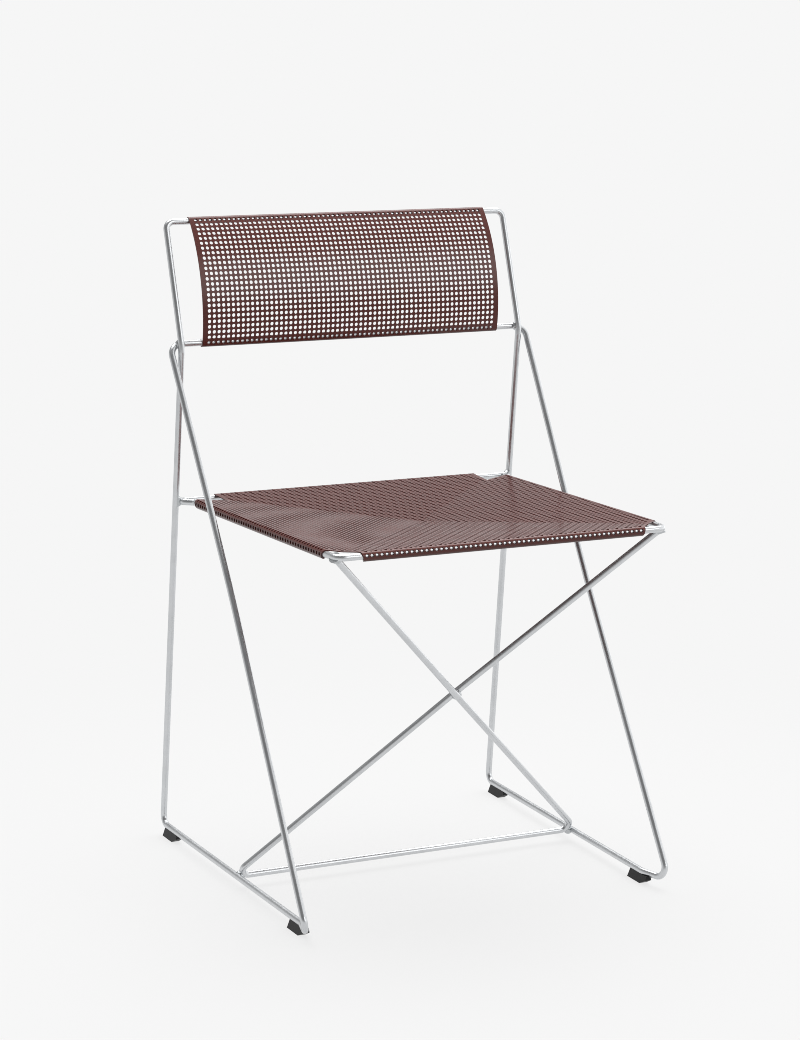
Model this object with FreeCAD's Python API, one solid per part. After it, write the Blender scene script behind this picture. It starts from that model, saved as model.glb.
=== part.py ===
"""Stacking chair of bent steel rod with a perforated sheet seat and back.

Millimetres, +Z up, the sitter faces -Y. Y = 0 lies midway between the front and rear foot bends
while the chair is built; the finished chair is moved so that its box stands centred on the origin.
"""
import FreeCAD
import Part
import math
import os

from FreeCAD import Vector

# Rod, sheet and joints
rod_d = 8.0
sheet_t = 1.2
hem_fit = 0.1
weld_gap = 0.2

# Main loop: heights, half widths and depths of its corners
top_z = 790.0
top_y = 205.0
bar_z = 644.0
kink_y = 155.0
back_half_width = 231.5
bar_overhang = 12.5
leg_splay = 3.3
foot_span = 480.0
front_spread = 5.5
toe_out = 14.4
toe_straight = 19.5
waist_z = 360.0
waist_in = 5.0

# Main loop: bend radii on the rod's centre line
top_bend = 10.0
kink_bend = 40.0
rear_foot_bend = 12.0
toe_bend = 30.0
front_foot_bend = 12.0
waist_bend = 4000.0
bar_bend = 16.0

# Seat ring
ring_rear_z = 445.5
ring_front_z = 453.0
ring_front_y = -264.0
ring_taper = 6.0
ear_reach = 18.0
ear_angle = 45.0
ear_bend = 7.0
knee_bend = 10.0
ring_front_bend = 11.0

# Cross brace
stretcher_y = -5.0
hairpin_bend = 10.0
arm_bend = 100.0
brace_setback = 7.0

# Seat sheet
seat_dish = 15.0
seat_hem_wrap = 225.0
seat_hem_drop = 2.0
corner_cut = 28.0
lip_cut = 5.0
notch_front = 15.0
notch_rear = 34.0
notch_rear_deep = 43.0

# Back sheet
back_side_gap = 29.0
back_bulge = 17.5
back_hem_wrap = 225.0

# Openings of both sheets: a coarse grid in place of the fine punched holes
mesh_across = 10
mesh_back_rows = 4
mesh_open = 0.6

# Glides
glide_height = 10.0
glide_length = 44.0
glide_sole = 31.0
glide_sole_width = 10.5
glide_tip = 6.4
glide_slant = 4.0
glide_cradle = 1.5
glide_fit = 0.1
front_glide_back = 30.0

# Weld beads
bead = 6.2
end_fillet = 3.0
ear_fillet = 5.0
ear_bead_width = 7.0
butt_weld = 1.0

rod_r = rod_d / 2
hem_in = rod_r + hem_fit
hem_out = hem_in + sheet_t
rod_pitch = rod_d + weld_gap
runner_z = glide_height + rod_r
front_foot_y = -foot_span / 2
rear_foot_y = foot_span / 2


# Vectors and bent rod

def unit(vector):
    return Vector(vector).normalize()


def turn_between(before, after):
    return before.getAngle(after)


def bend_run(radius, turn):
    """Length that a bend takes from each of the two straight runs that it joins."""
    return radius * math.tan(turn / 2)


def at_height(low, high, z):
    """Point of the line from low to high at height z."""
    return low + (high - low) * ((z - low.z) / (high.z - low.z))


def at_depth(front, rear, y):
    """Point of the line from front to rear at depth y."""
    return front + (rear - front) * ((y - front.y) / (rear.y - front.y))


def mirrored(point):
    return Vector(-point.x, point.y, point.z)


def bend_arc(before, corner, after, radius):
    """Tangent points and middle of the arc that rounds a corner of a rod's path."""
    inward = unit(corner - before)
    outward = unit(after - corner)
    turn = turn_between(inward, outward)
    run = bend_run(radius, turn)
    start = corner - inward * run
    end = corner + outward * run
    centre_way = unit(outward - inward)
    middle = corner + centre_way * (radius / math.cos(turn / 2) - radius)
    return start, middle, end


def rod_path(corners, radii):
    """Wire of straight runs and tangent arcs through the corners; its two ends have no bend."""
    edges = []
    start = corners[0]
    for i in range(1, len(corners) - 1):
        bend = bend_arc(corners[i - 1], corners[i], corners[i + 1], radii[i])
        edges.append(Part.LineSegment(start, bend[0]).toShape())
        edges.append(Part.Arc(*bend).toShape())
        start = bend[2]
    edges.append(Part.LineSegment(start, corners[-1]).toShape())
    return Part.Wire(edges)


def rod_along(path, radius=rod_r):
    """Round rod swept along a path, from the start of its first straight run."""
    first = path.Edges[0]
    start = first.valueAt(first.FirstParameter)
    way = first.tangentAt(first.FirstParameter)
    section = Part.Wire(Part.Circle(start, way, radius).toShape())
    return path.makePipeShell([section], True, False)


def cylinder(start, end, radius):
    return Part.makeCylinder(radius, (end - start).Length, start, end - start)


# Main loop

kink = Vector(back_half_width, kink_y, bar_z)
top_corner = Vector(back_half_width, top_y, top_z)
rear_foot = Vector(back_half_width + leg_splay, rear_foot_y, runner_z)
front_foot = Vector(back_half_width + front_spread, front_foot_y, runner_z)

kink_turn = turn_between(kink - top_corner, rear_foot - kink)
kink_inset = kink_bend / math.cos(kink_turn / 2) - kink_bend
bar_y = kink_y + kink_inset + rod_pitch
bar_end = Vector(back_half_width + bar_overhang, bar_y, bar_z)

waist = at_height(front_foot, bar_end, waist_z) - Vector(waist_in, 0, 0)

toe_angle = math.radians(toe_out)
toe_way = Vector(math.sin(toe_angle), -math.cos(toe_angle), 0)
front_foot_run = bend_run(front_foot_bend, turn_between(toe_way, waist - front_foot))
toe_reach = front_foot_run + toe_straight
toe_guess = front_foot - toe_way * toe_reach
toe_turn = turn_between(toe_guess - rear_foot, toe_way)
toe = front_foot - toe_way * (toe_reach + bend_run(toe_bend, toe_turn))

rear_foot_turn = turn_between(rear_foot - kink, toe - rear_foot)
runner_start_y = rear_foot_y - bend_run(rear_foot_bend, rear_foot_turn)

top_middle = Vector(0, top_y, top_z)
bar_middle = Vector(0, bar_y, bar_z)
butt_end = Vector(butt_weld / 2, 0, 0)


def frame_half():
    """Half of the loop, on the +X side, from the weld in the top bar to the weld in the lower bar."""
    top_end = top_middle + butt_end
    bar_start = bar_middle + butt_end
    corners = [top_end, top_corner, kink, rear_foot, toe, front_foot, waist, bar_end, bar_start]
    radii = [0, top_bend, kink_bend, rear_foot_bend, toe_bend, front_foot_bend, waist_bend, bar_bend, 0]
    return rod_along(rod_path(corners, radii))


# Seat ring: a plane loop, tilted with the seat

leg_at_ring = at_height(rear_foot, kink, ring_rear_z)
ring_rear_y = leg_at_ring.y
ring_rear_x = leg_at_ring.x - ear_reach
ring_front_x = ring_rear_x - ring_taper
ring_rear = Vector(0, ring_rear_y, ring_rear_z)
ring_front = Vector(0, ring_front_y, ring_front_z)
seat_middle = (ring_rear + ring_front) * 0.5
seat_back_way = unit(ring_rear - ring_front)
seat_up = Vector(1, 0, 0).cross(seat_back_way)
seat_half_depth = (ring_rear - ring_front).Length / 2
ear = math.radians(ear_angle)


def seat_point(u, v, w=0.0):
    """Point of the seat: u across, v back from the middle, w above the ring's plane."""
    return seat_middle + Vector(u, 0, 0) + seat_back_way * v + seat_up * w


def ring_side_x(v):
    """Half width of the ring's tapered sides, v back from the middle."""
    share = (v + seat_half_depth) / (2 * seat_half_depth)
    return ring_front_x + (ring_rear_x - ring_front_x) * share


ear_turn = math.pi - ear
ear_centre_x = leg_at_ring.x - math.sqrt((ear_bend + rod_pitch) ** 2 - ear_bend ** 2)
ear_corner_x = ear_centre_x + bend_run(ear_bend, ear_turn)
knee_v = seat_half_depth - (ear_corner_x - ring_rear_x) / math.tan(ear)


def seat_ring(radius=rod_r):
    """Rod from the weld in the rear bar, round the +X ear and side to the front, and back to the weld."""
    half = [
        (ring_rear + butt_end, 0),
        (seat_point(ear_corner_x, seat_half_depth), ear_bend),
        (seat_point(ring_side_x(knee_v), knee_v), knee_bend),
        (seat_point(ring_front_x, -seat_half_depth), ring_front_bend),
    ]
    other = [(mirrored(point), bend) for point, bend in reversed(half)]
    corners = [point for point, bend in half + other]
    radii = [bend for point, bend in half + other]
    return rod_along(rod_path(corners, radii), radius)


# Cross brace: a bow tie in one rod

runner_at_brace = at_depth(toe, rear_foot, stretcher_y)
brace_top_v = brace_setback - seat_half_depth
brace_top = seat_point(ring_side_x(brace_top_v), brace_top_v)


def hairpin_room(corner_x):
    """Distance between the runner and the bend of a hairpin whose corner lies at corner_x."""
    corner = Vector(corner_x, stretcher_y, runner_z)
    start, middle, end = bend_arc(Vector(0, stretcher_y, runner_z), corner, mirrored(brace_top), hairpin_bend)
    bend = Part.Arc(start, middle, end).toShape()
    runner = Part.makeLine(rear_foot, toe)
    return bend.distToShape(runner)[0]


def hairpin_corner():
    """Corner of the hairpin that leaves the weld's root gap between its bend and the runner."""
    near, far = runner_at_brace.x - rod_pitch, runner_at_brace.x + 3 * hairpin_bend
    for step in range(40):
        guess = (near + far) / 2
        if hairpin_room(guess) > rod_pitch:
            near = guess
        else:
            far = guess
    return Vector(near, stretcher_y, runner_z)


hairpin = hairpin_corner()
brace_normal = unit(Vector(1, 0, 0).cross(Vector(0, brace_top.y - stretcher_y, brace_top.z - runner_z)))
cross_share = hairpin.x / (hairpin.x + brace_top.x)
crossing = hairpin + (mirrored(brace_top) - hairpin) * cross_share
arm_offset = brace_normal * (rod_pitch / 2)


def cross_brace(ring_tool):
    """Arms bowed apart by a rod's thickness where they cross; their ends are coped to the seat ring."""
    corners = [
        mirrored(brace_top),
        crossing + arm_offset,
        hairpin,
        mirrored(hairpin),
        crossing - arm_offset,
        brace_top,
    ]
    radii = [0, arm_bend, hairpin_bend, hairpin_bend, arm_bend, 0]
    return rod_along(rod_path(corners, radii)).cut(ring_tool)


# Seat sheet: four facets dished to the middle, rolled round the ring

def seat_facets(rim):
    """Thin shell over the rim's four corners, sunk to a point in the middle."""
    apex = seat_point(0, 0, hem_in - seat_dish)
    facets = []
    for i in range(4):
        triangle = Part.makePolygon([rim[i], rim[(i + 1) % 4], apex, rim[i]])
        facets.append(Part.Face(triangle).extrude(seat_up * sheet_t))
    return facets[0].multiFuse(facets[1:])


def hem_section(centre, outward):
    """Section of the rolled edge: over the rod, straight down its outer side, and in under it."""
    lower = centre - seat_up * seat_hem_drop

    def point(middle, radius, degrees):
        angle = math.radians(degrees)
        return middle + (seat_up * math.cos(angle) + outward * math.sin(angle)) * radius

    def layer(radius):
        over = [point(centre, radius, degrees) for degrees in (0, 45, 90)]
        under = [point(lower, radius, degrees) for degrees in (90, 45 + seat_hem_wrap / 2, seat_hem_wrap)]
        return over, under

    outer_over, outer_under = layer(hem_out)
    inner_over, inner_under = layer(hem_in)
    edges = [
        Part.Arc(*outer_over).toShape(),
        Part.makeLine(outer_over[-1], outer_under[0]),
        Part.Arc(*outer_under).toShape(),
        Part.makeLine(outer_under[-1], inner_under[-1]),
        Part.Arc(*reversed(inner_under)).toShape(),
        Part.makeLine(inner_under[0], inner_over[-1]),
        Part.Arc(*reversed(inner_over)).toShape(),
        Part.makeLine(inner_over[0], outer_over[0]),
    ]
    return Part.Face(Part.Wire(edges))


def seat_hem(start, end):
    """Rolled edge along one side of the ring; its ends slant back from the top to the lip."""
    way = unit(end - start)
    outward = way.cross(seat_up)
    first = start + way * corner_cut
    last = end - way * corner_cut
    roll = hem_section(first, outward).extrude(last - first)
    over = seat_up * hem_out
    under = seat_up * -(hem_out + seat_hem_drop)
    outline = [first + over, last + over, last - way * lip_cut + under, first + way * lip_cut + under]
    side = [point - outward * (2 * hem_out) for point in outline + outline[:1]]
    return roll.common(Part.Face(Part.makePolygon(side)).extrude(outward * (4 * hem_out)))


def corner_notch(corner, before, after, vertex):
    """Prism that opens the sheet's corner: a V from the ends of two hems in to its vertex."""
    to_before = unit(before - corner)
    to_after = unit(after - corner)
    reach = seat_up * (seat_dish + rod_d)
    away = (to_before + to_after) * -corner_cut
    outline = [
        corner + to_before * corner_cut,
        vertex,
        corner + to_after * corner_cut,
        corner + to_after * corner_cut + away,
        corner + away * 2,
        corner + to_before * corner_cut + away,
    ]
    base = [point - reach for point in outline + outline[:1]]
    return Part.Face(Part.makePolygon(base)).extrude(reach * 2)


def opening(middle, half_across, half_along, through):
    """Prism of one opening: half_across and half_along span it, through runs out of both faces."""
    outline = [
        middle - half_across - half_along,
        middle + half_across - half_along,
        middle + half_across + half_along,
        middle - half_across + half_along,
    ]
    base = [point - through for point in outline + outline[:1]]
    return Part.Face(Part.makePolygon(base)).extrude(through * 2)


def mesh_share(k, count):
    """Place of the middle of cell k of a row, from -1 to 1."""
    return (2 * k + 1) / count - 1


def seat_openings():
    """Grid of openings over the four facets, left out at the notched corners."""
    tools = []
    ends = (0, mesh_across - 1)
    half_along = seat_back_way * (mesh_open * seat_half_depth / mesh_across)
    for i in range(mesh_across):
        for j in range(mesh_across):
            if i in ends and j in ends:
                continue
            v = mesh_share(j, mesh_across) * seat_half_depth
            u = mesh_share(i, mesh_across) * ring_side_x(v)
            half_across = Vector(mesh_open * ring_side_x(v) / mesh_across, 0, 0)
            tools.append(opening(seat_point(u, v), half_across, half_along, seat_up * (seat_dish + rod_d)))
    return tools


def seat_panel():
    front, rear = -seat_half_depth, seat_half_depth
    axis = [
        seat_point(-ring_front_x, front),
        seat_point(ring_front_x, front),
        seat_point(ring_rear_x, rear),
        seat_point(-ring_rear_x, rear),
    ]
    rim = [point + seat_up * hem_in for point in axis]
    hems = [seat_hem(axis[i], axis[(i + 1) % 4]) for i in range(4)]
    front_vertex = seat_point(ring_front_x - notch_front, front + notch_front)
    rear_vertex = seat_point(ring_rear_x - notch_rear, rear - notch_rear_deep)
    vertices = [mirrored(front_vertex), front_vertex, rear_vertex, mirrored(rear_vertex)]
    notches = [corner_notch(axis[i], axis[i - 1], axis[(i + 1) % 4], vertices[i]) for i in range(4)]
    top = seat_facets(rim)
    for notch in notches:
        top = top.cut(notch)
    sheet = top.multiFuse(hems).removeSplitter()
    return sheet.cut(seat_openings()).Solids[0]


# Back sheet: one bulged section, rolled over the top bar and under the lower bar

def back_panel():
    half_chord = (top_middle - bar_middle).Length / 2
    swing = (back_bulge ** 2 + half_chord ** 2) / (2 * back_bulge)
    rise = unit(top_middle - bar_middle)
    forward = Vector(1, 0, 0).cross(rise)
    bulge_centre = (top_middle + bar_middle) * 0.5 - forward * (swing - back_bulge)
    top_way = unit(top_middle - bulge_centre)
    bar_way = unit(bar_middle - bulge_centre)

    def turned(way, degrees):
        return FreeCAD.Rotation(Vector(1, 0, 0), degrees).multVec(way)

    def layer(radius):
        """Ends and middles of the three arcs that run through the sheet at one radius round the bars."""
        return [
            top_middle + turned(top_way, -back_hem_wrap) * radius,
            top_middle + turned(top_way, -back_hem_wrap / 2) * radius,
            top_middle + top_way * radius,
            bulge_centre + forward * (swing + radius),
            bar_middle + bar_way * radius,
            bar_middle + turned(bar_way, back_hem_wrap / 2) * radius,
            bar_middle + turned(bar_way, back_hem_wrap) * radius,
        ]

    front, back = layer(hem_out), layer(hem_in)
    edges = [Part.Arc(*front[i:i + 3]).toShape() for i in (0, 2, 4)]
    edges.append(Part.makeLine(front[-1], back[-1]))
    edges += [Part.Arc(*reversed(back[i:i + 3])).toShape() for i in (4, 2, 0)]
    edges.append(Part.makeLine(back[0], front[0]))
    half_width = back_half_width - back_side_gap
    section = Part.Face(Part.Wire(edges))
    section.translate(Vector(-half_width, 0, 0))
    sheet = section.extrude(Vector(2 * half_width, 0, 0))

    half_turn = math.asin(half_chord / swing)
    half_across = Vector(mesh_open * half_width / mesh_across, 0, 0)
    tools = []
    for j in range(mesh_back_rows):
        turn = mesh_share(j, mesh_back_rows) * half_turn
        face_way = forward * math.cos(turn) + rise * math.sin(turn)
        half_along = Vector(1, 0, 0).cross(face_way) * (mesh_open * half_turn * swing / mesh_back_rows)
        for i in range(mesh_across):
            middle = bulge_centre + face_way * (swing + hem_out)
            middle.x = mesh_share(i, mesh_across) * half_width
            tools.append(opening(middle, half_across, half_along, face_way * rod_d))
    return sheet.cut(tools).Solids[0]


# Glides: flared pads that cradle the runner, bevelled at the front

def glide(rear_y, rod):
    """Pad under the +X runner whose sole starts at rear_y."""
    start = at_depth(toe, rear_foot, rear_y)
    way = unit(toe - rear_foot)
    across = Vector(-way.y, way.x, 0)
    floor = Vector(start.x, start.y, 0)
    up = Vector(0, 0, 1)
    crown = glide_height + glide_cradle
    crown_half = math.sqrt(rod_r ** 2 - (rod_r - glide_cradle) ** 2)
    side = [(0, 0), (glide_sole, 0), (glide_length, glide_tip), (glide_length, crown), (glide_slant, crown)]
    side_points = [floor + way * a + up * h - across * glide_sole_width for a, h in side]
    profile = Part.Face(Part.makePolygon(side_points + side_points[:1]))
    length = profile.extrude(across * (2 * glide_sole_width))
    half = glide_sole_width / 2
    flare = [(-half, 0), (half, 0), (crown_half, crown), (-crown_half, crown)]
    flare_points = [floor - way * glide_length + across * a + up * h for a, h in flare]
    section = Part.Face(Part.makePolygon(flare_points + flare_points[:1]))
    pad = length.common(section.extrude(way * (3 * glide_length)))
    return pad.cut(rod)


# Weld beads: each is a plain solid less the rods that it joins

def less(solid, rods):
    for rod in rods:
        solid = solid.cut(rod)
    return solid.Solids[0]


def ball_bead(point, through, *rods):
    """Bead that fills the corners between two rods; through is the way from one rod to the other."""
    return less(Part.makeSphere(bead, point, through), rods)


def end_bead(end, along, *rods):
    """Collar that narrows from a rod's coped end until it sinks into the rod."""
    collar = Part.makeCone(rod_r + end_fillet, rod_r / 2, rod_d + 2 * end_fillet, end, along - end)
    return less(collar, rods)


def ear_bead(*rods):
    """Fillet between a ring ear and the rear leg, flared along the leg."""
    ear_centre = seat_point(ear_centre_x, seat_half_depth - ear_bend)
    to_ear = unit(ear_centre - leg_at_ring)
    flare = Part.makeCone(rod_r + ear_fillet, rod_r, rod_pitch, leg_at_ring, to_ear)
    leg_way = unit(kink - rear_foot)
    wide = 2 * (rod_r + ear_fillet)
    slab = Part.makeBox(2 * wide, ear_bead_width, 2 * wide, Vector(-wide, -ear_bead_width / 2, -wide))
    turn = FreeCAD.Rotation(to_ear, to_ear.cross(leg_way), leg_way, "XZY")
    slab.Placement = FreeCAD.Placement(leg_at_ring, turn)
    return less(flare.common(slab), rods)


def butt_disc(point):
    """Weld that closes a rod between its two ends, dressed flush."""
    return cylinder(point - butt_end, point + butt_end, rod_r)


# Assembly

def flipped(shape):
    return shape.mirror(Vector(0, 0, 0), Vector(1, 0, 0))


frame_right = frame_half()
frame_left = flipped(frame_right)
ring = seat_ring()
brace = cross_brace(seat_ring(rod_r + weld_gap))
runner_path = rod_path([rear_foot, toe, front_foot, waist], [0, toe_bend, front_foot_bend, 0])
runner_groove = rod_along(runner_path, rod_r + glide_fit)

nodes = {
    "frame_right": frame_right,
    "frame_left": frame_left,
    "seat_ring": ring,
    "cross_brace": brace,
    "seat_panel": seat_panel(),
    "back_panel": back_panel(),
    "weld_loop_top": butt_disc(top_middle),
    "weld_loop_bar": butt_disc(bar_middle),
    "weld_ring": butt_disc(ring_rear),
    "weld_brace_cross": ball_bead(crossing, brace_normal, brace),
}
across = Vector(1, 0, 0)
brace_foot = runner_at_brace - across * (rod_pitch / 2)
bar_weld = kink + Vector(0, kink_inset + rod_pitch / 2, 0)
nodes["weld_brace_foot_right"] = ball_bead(brace_foot, across, frame_right, brace)
nodes["weld_brace_foot_left"] = ball_bead(mirrored(brace_foot), across, frame_left, brace)
nodes["weld_brace_top_right"] = end_bead(brace_top, crossing - arm_offset, ring, brace)
nodes["weld_brace_top_left"] = end_bead(mirrored(brace_top), crossing + arm_offset, ring, brace)
mirrored_pieces = {
    "glide_rear": glide(runner_start_y + glide_slant, runner_groove),
    "glide_front": glide(toe.y + front_glide_back, runner_groove),
    "weld_back": ball_bead(bar_weld, Vector(0, 1, 0), frame_right),
    "weld_seat": ear_bead(frame_right, ring),
}
for name, shape in mirrored_pieces.items():
    nodes[name + "_right"] = shape
    nodes[name + "_left"] = flipped(shape)

box = FreeCAD.BoundBox()
for shape in nodes.values():
    box.add(shape.BoundBox)
to_origin = Vector(0, -box.Center.y, 0)

os.makedirs("parts", exist_ok=True)
for name, shape in nodes.items():
    shape.translate(to_origin)
    shape.exportStep("parts/" + name + ".step")
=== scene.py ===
import bpy
import bmesh
import math
from mathutils import Matrix, Vector


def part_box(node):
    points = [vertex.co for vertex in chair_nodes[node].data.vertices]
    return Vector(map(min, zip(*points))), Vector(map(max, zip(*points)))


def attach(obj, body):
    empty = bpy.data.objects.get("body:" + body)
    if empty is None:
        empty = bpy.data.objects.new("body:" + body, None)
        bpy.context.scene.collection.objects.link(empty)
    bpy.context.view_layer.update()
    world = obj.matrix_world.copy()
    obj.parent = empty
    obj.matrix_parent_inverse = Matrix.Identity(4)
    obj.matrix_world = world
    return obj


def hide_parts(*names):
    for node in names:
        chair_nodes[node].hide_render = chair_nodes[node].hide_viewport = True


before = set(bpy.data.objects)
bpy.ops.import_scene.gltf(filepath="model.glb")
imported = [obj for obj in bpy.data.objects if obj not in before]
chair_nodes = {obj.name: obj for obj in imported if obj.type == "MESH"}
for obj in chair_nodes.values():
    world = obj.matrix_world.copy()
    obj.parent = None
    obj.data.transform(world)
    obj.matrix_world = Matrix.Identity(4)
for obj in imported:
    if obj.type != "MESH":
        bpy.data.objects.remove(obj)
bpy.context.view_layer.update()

# Main loop
# One closed loop of 8 mm round steel rod makes the back frame, the rear legs, the floor runners
# and the front diagonals. It is bent cold, butt welded in its two back bars and zinc plated.

MM = 0.001


def colour(hex_code):
    """Linear colour of an sRGB hex code."""
    parts = [int(hex_code[i:i + 2], 16) / 255 for i in (1, 3, 5)]
    return [c / 12.92 if c <= 0.04045 else ((c + 0.055) / 1.055) ** 2.4 for c in parts] + [1.0]


def node(tree, kind, inputs=None, **settings):
    """New node with its settings; an input is a value or another node's socket."""
    made = tree.nodes.new(kind)
    for name, value in settings.items():
        setattr(made, name, value)
    for name, value in (inputs or {}).items():
        if isinstance(value, bpy.types.NodeSocket):
            tree.links.new(value, made.inputs[name])
        else:
            made.inputs[name].default_value = value
    return made


def new_material(name):
    """Material with an empty tree and its output node."""
    material = bpy.data.materials.new(name)
    material.use_nodes = True
    tree = material.node_tree
    tree.nodes.clear()
    return material, tree, tree.nodes.new("ShaderNodeOutputMaterial")


def dress(material, *names):
    """CAD nodes that keep their shape take a finish."""
    for name in names:
        mesh = chair_nodes[name].data
        mesh.materials.clear()
        mesh.materials.append(material)


ZINC_DULL = "#C9CBCD"
ZINC_PALE = "#D2D4D6"
ZINC_SATIN = (0.27, 0.34)
SPANGLE = 14 * MM
HANDLING = 60 * MM

# Bright zinc on cold drawn rod: a satin metal whose grey clouds softly over a few millimetres,
# with duller patches a hand's width long where it was racked and handled.
zinc, tree, out = new_material("zinc_plated_steel")
place = node(tree, "ShaderNodeTexCoord")
spangle = node(tree, "ShaderNodeTexNoise", {
    "Vector": place.outputs["Object"], "Scale": 1 / SPANGLE, "Detail": 3.0, "Roughness": 0.55})
clouds = node(tree, "ShaderNodeTexNoise", {
    "Vector": place.outputs["Object"], "Scale": 1 / HANDLING, "Detail": 2.0})
tone = node(tree, "ShaderNodeMath", {
    0: spangle.outputs[0], 1: clouds.outputs[0]}, operation="MULTIPLY")
grey = node(tree, "ShaderNodeValToRGB", {0: tone.outputs[0]})
dull_stop, pale_stop = grey.color_ramp.elements
dull_stop.position = 0.12
dull_stop.color = colour(ZINC_DULL)
pale_stop.position = 0.36
pale_stop.color = colour(ZINC_PALE)
satin = node(tree, "ShaderNodeMapRange", {
    "Value": clouds.outputs[0], "From Min": 0.3, "From Max": 0.7,
    "To Min": ZINC_SATIN[0], "To Max": ZINC_SATIN[1]})
steel = node(tree, "ShaderNodeBsdfPrincipled", {
    "Base Color": grey.outputs[0], "Metallic": 1.0, "Roughness": satin.outputs[0]})
tree.links.new(steel.outputs[0], out.inputs["Surface"])
dress(zinc, "frame_left", "frame_right")

# Seat ring
# The ring that carries the seat sheet is the same rod, bent flat and closed by one butt weld.
# Two ears at its rear corners reach the rear legs.

dress(zinc, "seat_ring")

# Cross brace
# A single rod bent to a bow tie: a stretcher between the runners, two hairpins, and two arms that
# cross and rise to the front corners of the seat ring.

dress(zinc, "cross_brace")

# Welds
# Fillets of weld metal at every joint, brushed and plated together with the rods.
# They are a little duller than the rod, with a fine ripple left by the torch.

WELD_GREY = "#BCBFC1"
WELD_SATIN = (0.26, 0.4)
RIPPLE = 1.6 * MM
RIPPLE_HEIGHT = 0.3 * MM

bead, tree, out = new_material("zinc_plated_weld")
place = node(tree, "ShaderNodeTexCoord")
ripple = node(tree, "ShaderNodeTexNoise", {
    "Vector": place.outputs["Object"], "Scale": 1 / RIPPLE, "Detail": 2.0, "Roughness": 0.6})
relief = node(tree, "ShaderNodeBump", {
    "Height": ripple.outputs[0], "Strength": 0.35, "Distance": RIPPLE_HEIGHT})
dulled = node(tree, "ShaderNodeMapRange", {
    "Value": ripple.outputs[0], "From Min": 0.3, "From Max": 0.7,
    "To Min": WELD_SATIN[0], "To Max": WELD_SATIN[1]})
metal = node(tree, "ShaderNodeBsdfPrincipled", {
    "Base Color": colour(WELD_GREY), "Metallic": 1.0, "Roughness": dulled.outputs[0],
    "Normal": relief.outputs[0]})
tree.links.new(metal.outputs[0], out.inputs["Surface"])
dress(bead, *[name for name in chair_nodes if name.startswith("weld_")])

# Seat sheet
# One blank of steel sheet, punched with round holes, creased to four shallow facets and rolled
# round the ring on its four sides. Its corners are notched open. It is powder coated maroon.

ROD_R = 4 * MM
SHEET = 1.2 * MM
HEM_IN = 4.1 * MM
HEM_OUT = HEM_IN + SHEET
HOLE_R = 2.25 * MM
SEAT_HOLE_SIDES = 8
SEAT_COLUMNS = 72
SEAT_ROWS = 64
SEAT_PITCH = (6.2 * MM, 7.31 * MM)
SEAT_FRONT_X = 208.54 * MM
SEAT_REAR_X = 214.54 * MM
SEAT_DISH = 15 * MM
SEAT_HEM_DROP = 1 * MM
SEAT_HEM_TURN = math.radians(225)
CORNER_CUT = 28 * MM
CORNER_AREA = 3 * CORNER_CUT
REAR_HEM_CUT = 33 * MM
END_LIP_CUT = 4 * MM
SIDE_LIP_CUT = 8 * MM
FRONT_NOTCH = Vector((-15 * MM, -15 * MM))
REAR_NOTCH = Vector((-34 * MM, -43 * MM))
PLAIN_MARGIN = 4 * MM
BEND_STEP = 1.4 * MM
SHARP_EDGE = math.radians(30)
TOUCH = 0.01 * MM
SCORE_SNAP = 0.001 * MM

ring_low, ring_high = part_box("seat_ring")
seat_front = Vector((0, ring_low.y + ROD_R, ring_high.z - ROD_R))
seat_rear = Vector((0, ring_high.y - ROD_R, ring_low.z + ROD_R))
seat_middle = (seat_front + seat_rear) / 2
seat_back_way = (seat_rear - seat_front).normalized()
seat_up = Vector((1, 0, 0)).cross(seat_back_way)
seat_depth = (seat_rear - seat_front).length / 2
seat_width = (SEAT_FRONT_X + SEAT_REAR_X) / 2
quarter_roll = HEM_OUT * math.pi / 2
seat_flange = quarter_roll + SEAT_HEM_DROP + HEM_OUT * (SEAT_HEM_TURN - math.pi / 2)


def punch(bm, cells, pitch, sides):
    """Opens a round hole in each of these cells of a flat grid."""
    first = cells[0].calc_center_median()
    web = (min(pitch) - 2 * HOLE_R) / 2
    bmesh.ops.inset_individual(bm, faces=cells, thickness=web, use_even_offset=True)
    # A dict keeps the edges in their order, so every run splits them alike.
    rims = list(dict.fromkeys(edge for cell in cells for edge in cell.edges))
    bmesh.ops.delete(bm, geom=cells, context="FACES_ONLY")
    split = bmesh.ops.bisect_edges(bm, edges=rims, cuts=sides // 4 - 1)["geom_split"]
    rim_edges = [part for part in split if isinstance(part, bmesh.types.BMEdge)]
    for vert in dict.fromkeys(vert for edge in rim_edges for vert in edge.verts):
        x = first.x + round((vert.co.x - first.x) / pitch[0]) * pitch[0]
        y = first.y + round((vert.co.y - first.y) / pitch[1]) * pitch[1]
        middle = Vector((x, y, 0))
        vert.co = middle + (vert.co - middle).normalized() * HOLE_R


def blank(columns, rows, pitch, is_punched, sides, half_width, half_length):
    """Flat sheet of punched cells in a ring of plain ones, drawn out to the edges of the blank."""
    bm = bmesh.new()
    bmesh.ops.create_grid(bm, x_segments=columns + 2, y_segments=rows + 2, size=0.5)
    size = Vector(((columns + 2) * pitch[0], (rows + 2) * pitch[1], 1))
    bmesh.ops.scale(bm, vec=size, verts=bm.verts)
    inside = [face for face in bm.faces if not any(vert.is_boundary for vert in face.verts)]
    punch(bm, [face for face in inside if is_punched(face.calc_center_median())], pitch, sides)
    for vert in bm.verts:
        if abs(vert.co.x) > size.x / 2 - TOUCH:
            vert.co.x = math.copysign(half_width, vert.co.x)
        if abs(vert.co.y) > size.y / 2 - TOUCH:
            vert.co.y = math.copysign(half_length, vert.co.y)
    return bm


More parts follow.
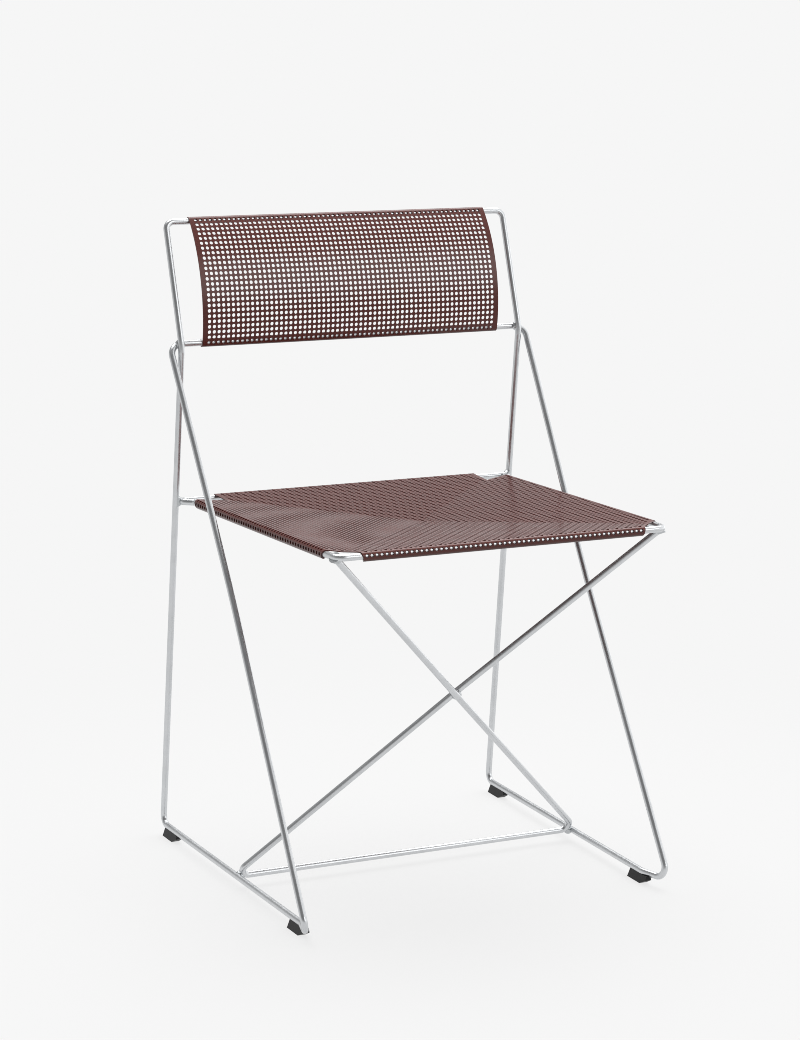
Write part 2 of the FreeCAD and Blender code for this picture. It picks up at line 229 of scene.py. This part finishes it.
def score(bm, point, across, keep=None):
    """Cuts new edges where a line crosses the flat sheet, in the faces that keep accepts."""
    faces = [face for face in bm.faces if keep is None or keep(face.calc_center_median())]
    edges = dict.fromkeys(edge for face in faces for edge in face.edges)
    verts = dict.fromkeys(vert for face in faces for vert in face.verts)
    bmesh.ops.bisect_plane(bm, geom=[*faces, *edges, *verts], dist=SCORE_SNAP,
                           plane_co=point, plane_no=across)


def finish_sheet(bm, name, material, fold):
    """Gives a flat blank its thickness, folds it, and makes it a piece of the chair."""
    bmesh.ops.remove_doubles(bm, verts=bm.verts, dist=TOUCH)
    made = bmesh.ops.extrude_face_region(bm, geom=bm.faces[:], use_keep_orig=True)["geom"]
    inner = [part for part in made if isinstance(part, bmesh.types.BMVert)]
    bmesh.ops.translate(bm, vec=(0, 0, -SHEET), verts=inner)
    bmesh.ops.recalc_face_normals(bm, faces=bm.faces)
    for vert in bm.verts:
        vert.co = fold(vert.co)
    mesh = bpy.data.meshes.new(name)
    bm.to_mesh(mesh)
    bm.free()
    for polygon in mesh.polygons:
        polygon.use_smooth = True
    mesh.set_sharp_from_angle(angle=SHARP_EDGE)
    mesh.materials.append(material)
    piece = bpy.data.objects.new(name, mesh)
    bpy.context.scene.collection.objects.link(piece)
    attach(piece, "root")
    return piece


MAROON = "#5F251D"
MAROON_THIN = "#6A3027"
COAT_GLOSS = (0.24, 0.29)
COAT_IOR = 1.46
COAT_PATCH = 35 * MM
ORANGE_PEEL = 1.5 * MM
PEEL_HEIGHT = 0.1 * MM

# Polyester powder coat: a smooth satin film with a faint orange peel in its skin, a little lighter
# and duller in patches a few centimetres wide, where the film is thin.
coat, tree, out = new_material("maroon_powder_coat")
place = node(tree, "ShaderNodeTexCoord")
peel = node(tree, "ShaderNodeTexNoise", {
    "Vector": place.outputs["Object"], "Scale": 1 / ORANGE_PEEL, "Detail": 2.0})
patch = node(tree, "ShaderNodeTexNoise", {
    "Vector": place.outputs["Object"], "Scale": 1 / COAT_PATCH, "Detail": 3.0})
thin = node(tree, "ShaderNodeMapRange", {
    "Value": patch.outputs[0], "From Min": 0.45, "From Max": 0.85, "To Min": 0.0, "To Max": 0.35})
film = node(tree, "ShaderNodeMix", {
    0: thin.outputs[0], 6: colour(MAROON), 7: colour(MAROON_THIN)}, data_type="RGBA")
gloss = node(tree, "ShaderNodeMapRange", {
    "Value": patch.outputs[0], "From Min": 0.3, "From Max": 0.7,
    "To Min": COAT_GLOSS[0], "To Max": COAT_GLOSS[1]})
skin = node(tree, "ShaderNodeBump", {
    "Height": peel.outputs[0], "Strength": 0.05, "Distance": PEEL_HEIGHT})
paint = node(tree, "ShaderNodeBsdfPrincipled", {
    "Base Color": film.outputs[2], "Roughness": gloss.outputs[0], "IOR": COAT_IOR,
    "Normal": skin.outputs[0]})
tree.links.new(paint.outputs[0], out.inputs["Surface"])


def beyond(point):
    """How far a point of the seat blank lies past the ring's rod, at the side and at the end."""
    return abs(point.x) - seat_width, abs(point.y) - seat_depth


def slant(past, lip_cut):
    """How far the end of a hem has drawn in, past the ring's rod."""
    return lip_cut * past / (2 * quarter_roll + SEAT_HEM_DROP)


def notch(rear):
    """The ends of the end hem and the side hem at a corner, and the notch's vertex between them.

    Each is measured past the ring's rod, at the side and at the end.
    """
    side_hem = Vector((0, -CORNER_CUT))
    if rear:
        return Vector((-REAR_HEM_CUT, 0)), side_hem, REAR_NOTCH
    return Vector((-CORNER_CUT, 0)), side_hem, FRONT_NOTCH


def inside_cut(spot, hem_end, vertex):
    """How far a spot lies on the corner's side of the cut from a hem's end to the vertex."""
    across = Vector((vertex.y - hem_end.y, hem_end.x - vertex.x)).normalized()
    return (spot - hem_end).dot(across) * math.copysign(1, -hem_end.dot(across))


def open_corner(point, spare=0.0):
    """Whether a point of the blank falls in an opened corner, or within spare of its edge."""
    side, end = beyond(point)
    end_hem, side_hem, vertex = notch(point.y > 0)
    if end > 0:
        return side > end_hem.x - slant(end, END_LIP_CUT) - spare
    if side > 0:
        return end > side_hem.y - slant(side, SIDE_LIP_CUT) - spare
    spot = Vector((side, end))
    return all(inside_cut(spot, hem_end, vertex) > -spare for hem_end in (end_hem, side_hem))


def by_corner(sx, sy):
    """Test for the faces of the blank round one corner."""
    return lambda c: c.x * sx > seat_width - CORNER_AREA and c.y * sy > seat_depth - CORNER_AREA


bm = blank(SEAT_COLUMNS, SEAT_ROWS, SEAT_PITCH, lambda c: not open_corner(c, PLAIN_MARGIN),
           SEAT_HOLE_SIDES, seat_width + seat_flange, seat_depth + seat_flange)
for sx in (1, -1):
    for sy in (1, -1):
        end_point, side_point, deep_point = (
            Vector((sx * (seat_width + cut.x), sy * (seat_depth + cut.y), 0))
            for cut in notch(sy > 0))
        for start, way in (
            (end_point, deep_point - end_point),
            (side_point, deep_point - side_point),
            (end_point, Vector((-sx * slant(1, END_LIP_CUT), sy, 0))),
            (side_point, Vector((sx, -sy * slant(1, SIDE_LIP_CUT), 0))),
        ):
            score(bm, start, Vector((way.y, -way.x, 0)).normalized(), by_corner(sx, sy))
gone = [face for face in bm.faces if open_corner(face.calc_center_median())]
bmesh.ops.delete(bm, geom=gone, context="FACES")

for sx in (1, -1):
    score(bm, Vector((0, 0, 0)), Vector((seat_depth, sx * -seat_width, 0)).normalized())
bends = math.ceil(seat_flange / BEND_STEP)
for k in range(bends):
    reach = k * seat_flange / bends
    for s in (1, -1):
        score(bm, Vector((s * (seat_width + reach), 0, 0)), Vector((1, 0, 0)),
              lambda c: beyond(c)[0] > -SEAT_PITCH[0])
        score(bm, Vector((0, s * (seat_depth + reach), 0)), Vector((0, 1, 0)),
              lambda c: beyond(c)[1] > -SEAT_PITCH[1])


def roll(past, layer):
    """Where a layer of the sheet lies, past the rod's axis: out from it and above it."""
    if past <= quarter_roll:
        turn, drop = past / HEM_OUT, 0.0
    elif past <= quarter_roll + SEAT_HEM_DROP:
        turn, drop = math.pi / 2, past - quarter_roll
    else:
        turn = math.pi / 2 + (past - quarter_roll - SEAT_HEM_DROP) / HEM_OUT
        drop = SEAT_HEM_DROP
    radius = HEM_OUT + layer
    return radius * math.sin(turn), radius * math.cos(turn) - drop


def fold_seat(point):
    """Place of a point of the blank on the folded seat."""
    side, end = beyond(point)
    u, v = point.x, point.y
    height = HEM_OUT + point.z - SEAT_DISH * (1 - max(abs(u) / seat_width, abs(v) / seat_depth))
    if end > 0:
        out_by, height = roll(end, point.z)
        v = math.copysign(seat_depth + out_by, v)
    elif side > 0:
        out_by, height = roll(side, point.z)
        u = math.copysign(seat_width + out_by, u)
    taper = 1 + (SEAT_REAR_X - SEAT_FRONT_X) / 2 / seat_width * (v / seat_depth)
    return seat_middle + Vector((u * taper, 0, 0)) + seat_back_way * v + seat_up * height


hems = bm.copy()
bmesh.ops.delete(bm, context="FACES", geom=[
    face for face in bm.faces if max(beyond(face.calc_center_median())) > 0])
bmesh.ops.delete(hems, context="FACES", geom=[
    face for face in hems.faces if max(beyond(face.calc_center_median())) <= 0])
seat_top = finish_sheet(bm, "seat_sheet", coat, fold_seat)
finish_sheet(hems, "seat_hems", coat, fold_seat)
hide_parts("seat_panel")

# Back sheet
# A second blank of the same punched sheet, bowed forward and rolled over the top bar and under
# the lower bar. Its two sides are plain cut edges, and its top hem is the shorter one.

BACK_HOLE_SIDES = 12
BACK_COLUMNS = 62
BACK_ROWS = 25
BACK_PITCH = (6.362 * MM, 6.57 * MM)
BACK_ROW_SHIFT = -0.7 * MM
BACK_HALF_WIDTH = 202.5 * MM
BACK_BULGE = 17.5 * MM
BACK_HEM_TURN = math.radians(225)
BACK_TOP_TURN = math.radians(190)

top_low, top_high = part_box("weld_loop_top")
bar_low, bar_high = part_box("weld_loop_bar")
top_bar = (top_low + top_high) / 2
low_bar = (bar_low + bar_high) / 2
half_chord = (top_bar - low_bar).length / 2
swing = (BACK_BULGE ** 2 + half_chord ** 2) / (2 * BACK_BULGE)
back_rise = (top_bar - low_bar).normalized()
back_front = Vector((1, 0, 0)).cross(back_rise)
bow_centre = (top_bar + low_bar) / 2 - back_front * (swing - BACK_BULGE)
bow_turn = math.asin(half_chord / swing)
bow_reach = bow_turn * (swing + HEM_OUT)
back_flange = HEM_OUT * BACK_HEM_TURN
back_lip = bow_reach + back_flange - BEND_STEP


def fold_back(point):
    """Place of a point of the blank on the bowed and rolled back."""
    past = abs(point.y) - bow_reach
    if past <= 0:
        turn = point.y / (swing + HEM_OUT)
        middle, radius = bow_centre, swing + HEM_OUT + point.z
    else:
        turn = math.copysign(bow_turn + past / HEM_OUT, point.y)
        middle, radius = (top_bar if point.y > 0 else low_bar), HEM_OUT + point.z
    spot = middle + (back_front * math.cos(turn) + back_rise * math.sin(turn)) * radius
    return Vector((point.x, spot.y, spot.z))


bm = blank(BACK_COLUMNS, BACK_ROWS, BACK_PITCH, lambda c: True,
           BACK_HOLE_SIDES, BACK_HALF_WIDTH, bow_reach + back_flange)
bmesh.ops.translate(bm, vec=(0, BACK_ROW_SHIFT, 0), verts=[
    vert for vert in bm.verts if abs(vert.co.y) < back_lip])
bmesh.ops.translate(bm, vec=(0, HEM_OUT * (BACK_TOP_TURN - BACK_HEM_TURN), 0), verts=[
    vert for vert in bm.verts if vert.co.y > back_lip])
bends = math.ceil(back_flange / BEND_STEP)
for k in range(bends):
    reach = bow_reach + k * back_flange / bends
    for s in (1, -1):
        score(bm, Vector((0, s * reach, 0)), Vector((0, 1, 0)),
              lambda c: abs(c.y) > bow_reach - BACK_PITCH[1])
back_sheet = finish_sheet(bm, "back_sheet", coat, fold_back)
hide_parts("back_panel")

# Glides
# Four black plastic pads that keep the runners off the floor. Each is moulded in one piece, with
# a cradle for the rod, a flared foot and a bevelled toe, and is clipped under its runner.

GLIDE_BLACK = "#08080A"
GLIDE_SCUFF = "#141416"
GLIDE_ROUGH = 0.5
GLIDE_IOR = 1.4
SCUFF = 12 * MM
GRIT = 0.8 * MM
GRIT_HEIGHT = 0.1 * MM

# Moulded polyethylene: a dull, nearly black skin with a fine grit from the mould, and greyer
# scuffs about a centimetre wide.
plastic, tree, out = new_material("black_moulded_plastic")
place = node(tree, "ShaderNodeTexCoord")
grit = node(tree, "ShaderNodeTexNoise", {
    "Vector": place.outputs["Object"], "Scale": 1 / GRIT, "Detail": 2.0})
scuff = node(tree, "ShaderNodeTexNoise", {
    "Vector": place.outputs["Object"], "Scale": 1 / SCUFF, "Detail": 4.0})
tone = node(tree, "ShaderNodeMapRange", {
    "Value": scuff.outputs[0], "From Min": 0.5, "From Max": 0.75, "To Min": 0.0, "To Max": 0.6})
black = node(tree, "ShaderNodeMix", {
    0: tone.outputs[0], 6: colour(GLIDE_BLACK), 7: colour(GLIDE_SCUFF)}, data_type="RGBA")
grain = node(tree, "ShaderNodeBump", {
    "Height": grit.outputs[0], "Strength": 0.2, "Distance": GRIT_HEIGHT})
pad = node(tree, "ShaderNodeBsdfPrincipled", {
    "Base Color": black.outputs[2], "Roughness": GLIDE_ROUGH, "IOR": GLIDE_IOR,
    "Normal": grain.outputs[0]})
tree.links.new(pad.outputs[0], out.inputs["Surface"])
dress(plastic, *[name for name in chair_nodes if name.startswith("glide_")])

# Studio
# A plain floor that runs out into an even, pale backdrop, in a room with a bright rear wall,
# a dimmer front and ceiling, and a window on the right. One soft lamp is overhead, one in front.

BACKDROP = "#F6F6F6"
FLOOR = "#666666"
FLOOR_LIFT = 0.755
FLOOR_RADIUS = 2.6
FLOOR_SIDES = 96
FLOOR_FADE = (0.35, 1.15)
WHITE = (1, 1, 1, 1)

stage_bm = bmesh.new()
bmesh.ops.create_circle(stage_bm, cap_ends=True, segments=FLOOR_SIDES, radius=FLOOR_RADIUS)
floor_mesh = bpy.data.meshes.new("floor")
stage_bm.to_mesh(floor_mesh)
stage_bm.free()
floor = bpy.data.objects.new("floor", floor_mesh)
bpy.context.scene.collection.objects.link(floor)

# The floor takes the chair's shadow. For the camera and for gloss it is lifted to a pale tone, and
# it fades into the backdrop away from the chair.
sweep, tree, out = new_material("floor_sweep")
place = node(tree, "ShaderNodeTexCoord")
apart = node(tree, "ShaderNodeVectorMath", {0: place.outputs["Object"]}, operation="LENGTH")
fade = node(tree, "ShaderNodeMapRange", {
    "Value": apart.outputs["Value"], "From Min": FLOOR_FADE[0], "From Max": FLOOR_FADE[1],
    "To Min": 0.0, "To Max": 1.0}, interpolation_type="SMOOTHSTEP")
rays = node(tree, "ShaderNodeLightPath")
seen = node(tree, "ShaderNodeMath", {
    0: rays.outputs["Is Camera Ray"], 1: rays.outputs["Is Glossy Ray"]}, operation="MAXIMUM")
lit = node(tree, "ShaderNodeBsdfDiffuse", {"Color": colour(FLOOR)})
even = node(tree, "ShaderNodeEmission", {"Color": colour(BACKDROP), "Strength": seen.outputs[0]})
blend = node(tree, "ShaderNodeMixShader", {
    0: fade.outputs[0], 1: lit.outputs[0], 2: even.outputs[0]})
close_by = node(tree, "ShaderNodeMapRange", {
    "Value": fade.outputs[0], "From Min": 0.0, "From Max": 1.0,
    "To Min": FLOOR_LIFT, "To Max": 0.0})
lift = node(tree, "ShaderNodeMath", {
    0: close_by.outputs[0], 1: seen.outputs[0]}, operation="MULTIPLY")
pale = node(tree, "ShaderNodeEmission", {"Color": WHITE, "Strength": lift.outputs[0]})
whole = node(tree, "ShaderNodeAddShader", {0: blend.outputs[0], 1: pale.outputs[0]})
tree.links.new(whole.outputs[0], out.inputs["Surface"])
floor_mesh.materials.append(sweep)

# The room's light: the level of its walls, the share of that on the ceiling, and the window's extra.
WALL_FRONT = 0.48
WALL_REAR = 0.84
CEILING = 0.5
WINDOW = 0.85
WINDOW_WAY = (0.95, -0.10, 0.30)

world = bpy.data.worlds.new("studio")
bpy.context.scene.world = world
world.use_nodes = True
tree = world.node_tree
tree.nodes.clear()
rays = node(tree, "ShaderNodeLightPath")
way = node(tree, "ShaderNodeTexCoord")
axes = node(tree, "ShaderNodeSeparateXYZ", {0: way.outputs["Generated"]})
wall = node(tree, "ShaderNodeMapRange", {
    "Value": axes.outputs["Y"], "From Min": -0.3, "From Max": 0.5,
    "To Min": WALL_FRONT, "To Max": WALL_REAR}, interpolation_type="SMOOTHSTEP")
ceiling = node(tree, "ShaderNodeMapRange", {
    "Value": axes.outputs["Z"], "From Min": 0.06, "From Max": 0.34,
    "To Min": 1.0, "To Max": CEILING}, interpolation_type="SMOOTHSTEP")
shell = node(tree, "ShaderNodeMath", {
    0: wall.outputs[0], 1: ceiling.outputs[0]}, operation="MULTIPLY")
window_side = node(tree, "ShaderNodeVectorMath", {
    0: way.outputs["Generated"], 1: WINDOW_WAY}, operation="DOT_PRODUCT")
window = node(tree, "ShaderNodeMapRange", {
    "Value": window_side.outputs["Value"], "From Min": 0.35, "From Max": 0.85,
    "To Min": 0.0, "To Max": WINDOW}, interpolation_type="SMOOTHSTEP")
level = node(tree, "ShaderNodeMath", {0: shell.outputs[0], 1: window.outputs[0]}, operation="ADD")
room = node(tree, "ShaderNodeBackground", {"Color": WHITE, "Strength": level.outputs[0]})
backdrop = node(tree, "ShaderNodeBackground", {"Color": colour(BACKDROP), "Strength": 1.0})
sky = node(tree, "ShaderNodeMixShader", {
    0: rays.outputs["Is Camera Ray"], 1: room.outputs[0], 2: backdrop.outputs[0]})
node(tree, "ShaderNodeOutputWorld", {"Surface": sky.outputs[0]})

for name, strength, spread, toward in (
    ("key", 0.35, 30, (0.36, -0.84, 0.39)),
    ("overhead", 2.8, 60, (0.15, 0.38, 0.91)),
):
    light = bpy.data.lights.new(name, "SUN")
    light.energy = strength
    light.angle = math.radians(spread)
    lamp = bpy.data.objects.new(name, light)
    lamp.rotation_euler = Vector(toward).to_track_quat("Z", "Y").to_euler()
    bpy.context.scene.collection.objects.link(lamp)

# Camera
# A long lens a little above the chair, to the left of its front. Focal length is in pixels of the
# image's height, angles are in radians, and a narrow pixel filter keeps the small holes crisp.

IMAGE_HEIGHT = 1040
FOCAL_PX = 2721.25
SENSOR = 36
FAR_CLIP = 60
PIXEL_FILTER = 0.9
EYE = Vector((-1.3834, -2.9429, 1.0517))
AZIMUTH = -0.43513
ELEVATION = 0.18698

camera = bpy.data.cameras.new("camera")
camera.sensor_width = SENSOR
camera.lens = FOCAL_PX * SENSOR / IMAGE_HEIGHT
camera.clip_end = FAR_CLIP
back_way = Vector((math.sin(AZIMUTH) * math.cos(ELEVATION),
                   -math.cos(AZIMUTH) * math.cos(ELEVATION), math.sin(ELEVATION)))
right_way = Vector((math.cos(AZIMUTH), math.sin(AZIMUTH), 0))
up_way = back_way.cross(right_way)
turned = Matrix((right_way, up_way, back_way)).transposed()
shot = bpy.data.objects.new("camera", camera)
shot.matrix_world = Matrix.Translation(EYE) @ turned.to_4x4()
bpy.context.scene.collection.objects.link(shot)
bpy.context.scene.camera = shot
bpy.context.scene.view_settings.view_transform = "Standard"
bpy.context.scene.cycles.filter_width = PIXEL_FILTER
